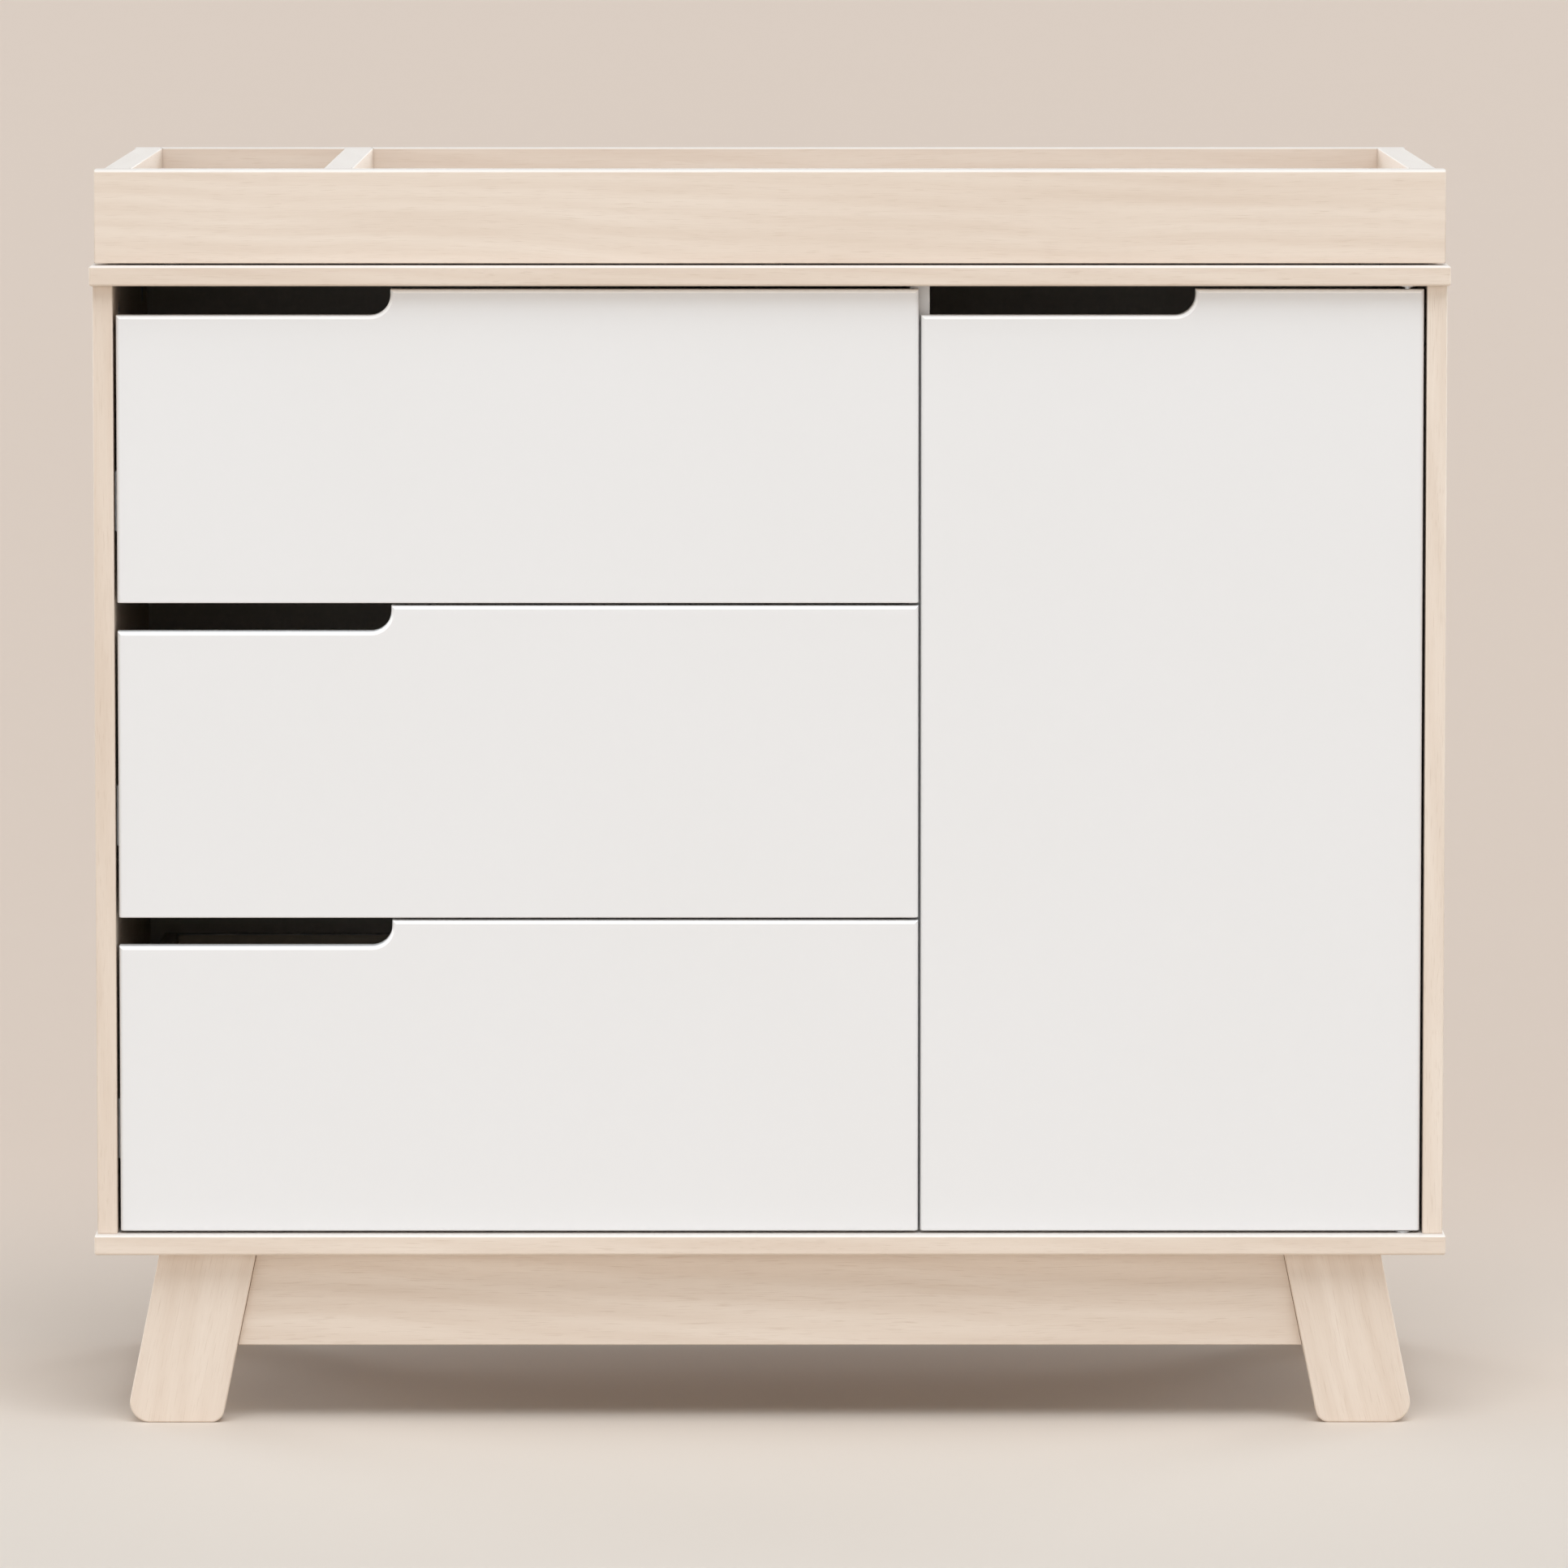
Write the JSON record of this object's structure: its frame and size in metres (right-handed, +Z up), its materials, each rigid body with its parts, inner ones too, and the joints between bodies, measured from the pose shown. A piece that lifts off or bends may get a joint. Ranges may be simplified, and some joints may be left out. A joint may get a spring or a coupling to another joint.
{
  "type": "changing table",
  "caption": "Changing dresser with notched slab-front drawers, a side-hinged cupboard door, splayed board legs and a divided lift-off changing tray on top.",
  "frame": {"origin": "on the floor, at the middle of the overall width and depth", "axes": "+X to the right as seen from the front, +Y to the back, +Z up; drawers open towards -Y"},
  "size_m": [1.015, 0.4904, 0.9444],
  "materials": {
    "pale_wood": "pale washed wood, matt lacquer",
    "white_lacquer": "satin",
    "drawer_box_wood": "clear lacquered birch",
    "back_board": "foil faced board",
    "zinc_steel": "zinc plated",
    "cast_zinc": "die cast",
    "nylon": "matt",
    "felt_pad": "soft",
    "beech_dowel": "raw"
  },
  "bodies": {
    "carcass": {"apron_dowels": "beech_dowel", "back_panel": "back_board", "bottom_panel": "pale_wood", "cam_bolts": "zinc_steel", "cam_locks": "cast_zinc", "centre_partition": "white_lacquer", "corner_blocks": "pale_wood", "corner_screws": "zinc_steel", "door_pivots": "zinc_steel", "front_apron": "pale_wood", "front_left_leg": "pale_wood", "front_right_leg": "pale_wood", "left_side_panel": "pale_wood", "left_stretcher": "pale_wood", "lower_shelf": "pale_wood", "magnet_catch": "nylon", "rear_apron": "pale_wood", "rear_left_leg": "pale_wood", "rear_right_leg": "pale_wood", "right_side_panel": "pale_wood", "right_stretcher": "pale_wood", "shelf_pins": "zinc_steel", "slide_cabinet_members": "zinc_steel", "top_panel": "pale_wood", "tray_hook_screws": "zinc_steel", "upper_shelf": "pale_wood"},
    "lower_drawer": {"lower_drawer_front": "white_lacquer", "lower_drawer_left_side": "drawer_box_wood", "lower_drawer_right_side": "drawer_box_wood", "lower_drawer_bottom": "drawer_box_wood", "lower_drawer_back": "drawer_box_wood", "lower_slide_drawer_members": "zinc_steel"},
    "lower_slides": {"lower_slide_middle_members": "zinc_steel"},
    "middle_drawer": {"middle_drawer_front": "white_lacquer", "middle_drawer_left_side": "drawer_box_wood", "middle_drawer_right_side": "drawer_box_wood", "middle_drawer_bottom": "drawer_box_wood", "middle_drawer_back": "drawer_box_wood", "middle_slide_drawer_members": "zinc_steel"},
    "middle_slides": {"middle_slide_middle_members": "zinc_steel"},
    "upper_drawer": {"upper_drawer_front": "white_lacquer", "upper_drawer_left_side": "drawer_box_wood", "upper_drawer_right_side": "drawer_box_wood", "upper_drawer_bottom": "drawer_box_wood", "upper_drawer_back": "drawer_box_wood", "upper_slide_drawer_members": "zinc_steel"},
    "upper_slides": {"upper_slide_middle_members": "zinc_steel"},
    "door": {"door_panel": "white_lacquer", "door_bushings": "nylon", "strike_plate": "zinc_steel"},
    "tray": {"tray_back_rail": "pale_wood", "tray_bracket_screws": "zinc_steel", "tray_brackets": "zinc_steel", "tray_divider": "pale_wood", "tray_front_rail": "pale_wood", "tray_left_rail": "pale_wood", "tray_pad_bay_base": "pale_wood", "tray_pads": "felt_pad", "tray_right_rail": "pale_wood", "tray_small_bay_base": "pale_wood"}
  },
  "joints": [
    {"name": "lower_drawer_slide", "type": "slide", "parent": "carcass", "child": "lower_drawer", "axis": [0, -1, 0], "range_m": [0, 0.35]},
    {"name": "lower_middle_member_slide", "type": "slide", "parent": "carcass", "child": "lower_slides", "axis": [0, -1, 0], "range_m": [0, 0.175]},
    {"name": "middle_drawer_slide", "type": "slide", "parent": "carcass", "child": "middle_drawer", "axis": [0, -1, 0], "range_m": [0, 0.35]},
    {"name": "middle_middle_member_slide", "type": "slide", "parent": "carcass", "child": "middle_slides", "axis": [0, -1, 0], "range_m": [0, 0.175]},
    {"name": "upper_drawer_slide", "type": "slide", "parent": "carcass", "child": "upper_drawer", "axis": [0, -1, 0], "range_m": [0, 0.35]},
    {"name": "upper_middle_member_slide", "type": "slide", "parent": "carcass", "child": "upper_slides", "axis": [0, -1, 0], "range_m": [0, 0.175]},
    {"name": "door_hinge", "type": "hinge", "parent": "carcass", "child": "door", "pos_m": [0.4763, -0.2242, 0.501], "axis": [0, 0, 1], "range_deg": [0, 105]},
    {"name": "tray_lift", "type": "slide", "parent": "carcass", "child": "tray", "axis": [0, 0, 1], "range_m": [0, 0.12]}
  ],
  "couplings": [
    {"joint": "lower_middle_member_slide", "follows": "lower_drawer_slide", "ratio": 0.5},
    {"joint": "middle_middle_member_slide", "follows": "middle_drawer_slide", "ratio": 0.5},
    {"joint": "upper_middle_member_slide", "follows": "upper_drawer_slide", "ratio": 0.5}
  ]
}
